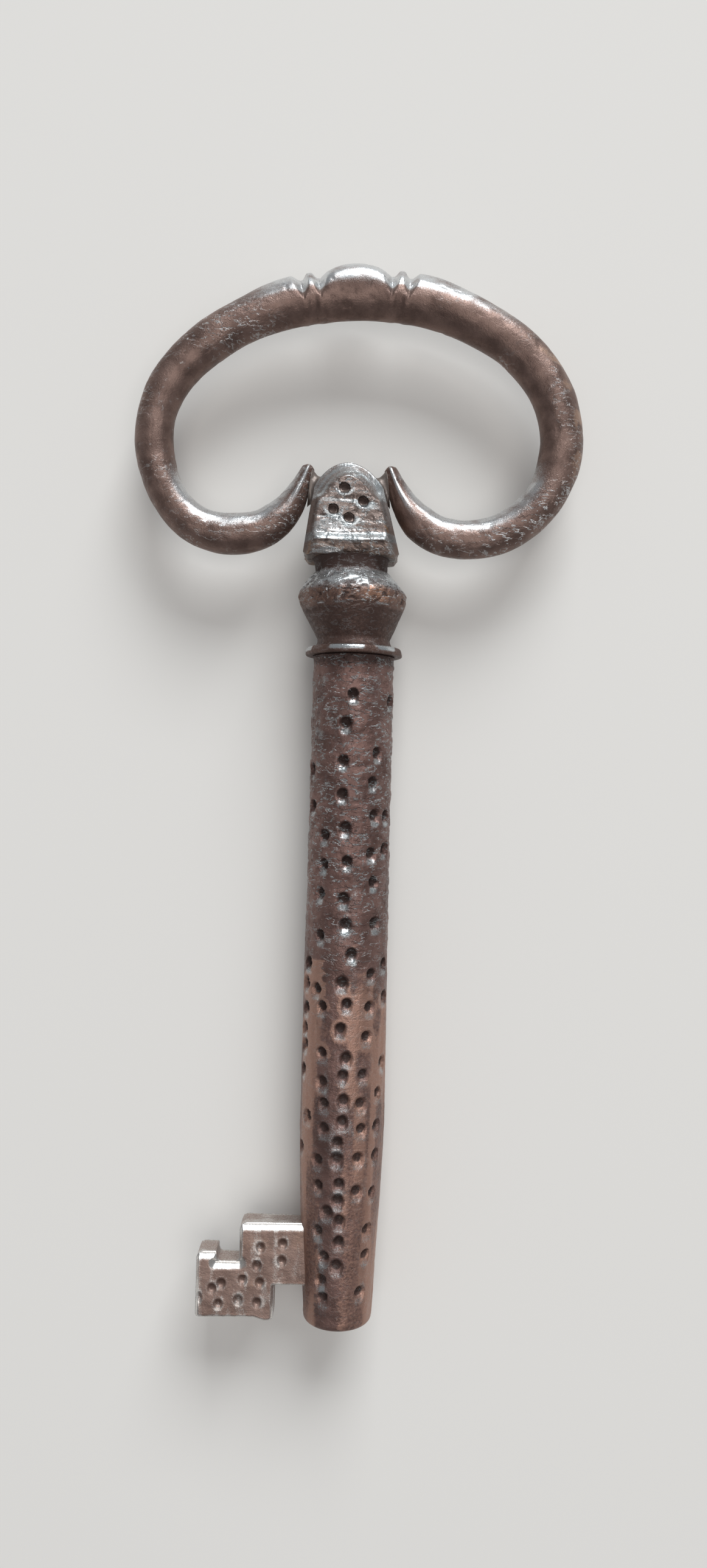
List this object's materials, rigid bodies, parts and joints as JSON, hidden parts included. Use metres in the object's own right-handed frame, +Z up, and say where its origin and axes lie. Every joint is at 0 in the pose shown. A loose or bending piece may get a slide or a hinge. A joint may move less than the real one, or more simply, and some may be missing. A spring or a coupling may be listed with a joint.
{
  "type": "pipe key",
  "caption": "Old wrought iron pipe key: oval bow with a turned crest, domed head block, beaded neck, drilled pipe with punched dots, and a stepped bit with a square cut.",
  "frame": {"origin": "on the surface that the key lies on, under the middle of its outline", "axes": "+X across the key, away from the bit; +Y along the key, from the mouth of the pipe to the top of the bow; +Z up, out of the side that the picture shows"},
  "size_m": [0.0556, 0.1302, 0.0135],
  "materials": {
    "pipe_iron": "forged iron with a brown patina, punched dots, rough and flaking near the collar, worn tan in the middle and smoother towards the mouth",
    "head_iron": "filed iron with a dark brown patina, pitted, bright where it is rubbed",
    "bow_iron": "forged iron worn satin by handling, with fine grain and rust-brown patches",
    "bit_iron": "filed iron, smoother and lighter than the pipe, with rubbed edges and punched dots",
    "braze": "old braze dulled to a smooth grey"
  },
  "bodies": {
    "root": {"pipe_shank": "pipe_iron", "collar_ring": "head_iron", "neck_baluster": "head_iron", "head_block": "head_iron", "bow_ring": "bow_iron", "bow_braze_left": "braze", "bow_braze_right": "braze", "bit": "bit_iron"}
  },
  "joints": []
}
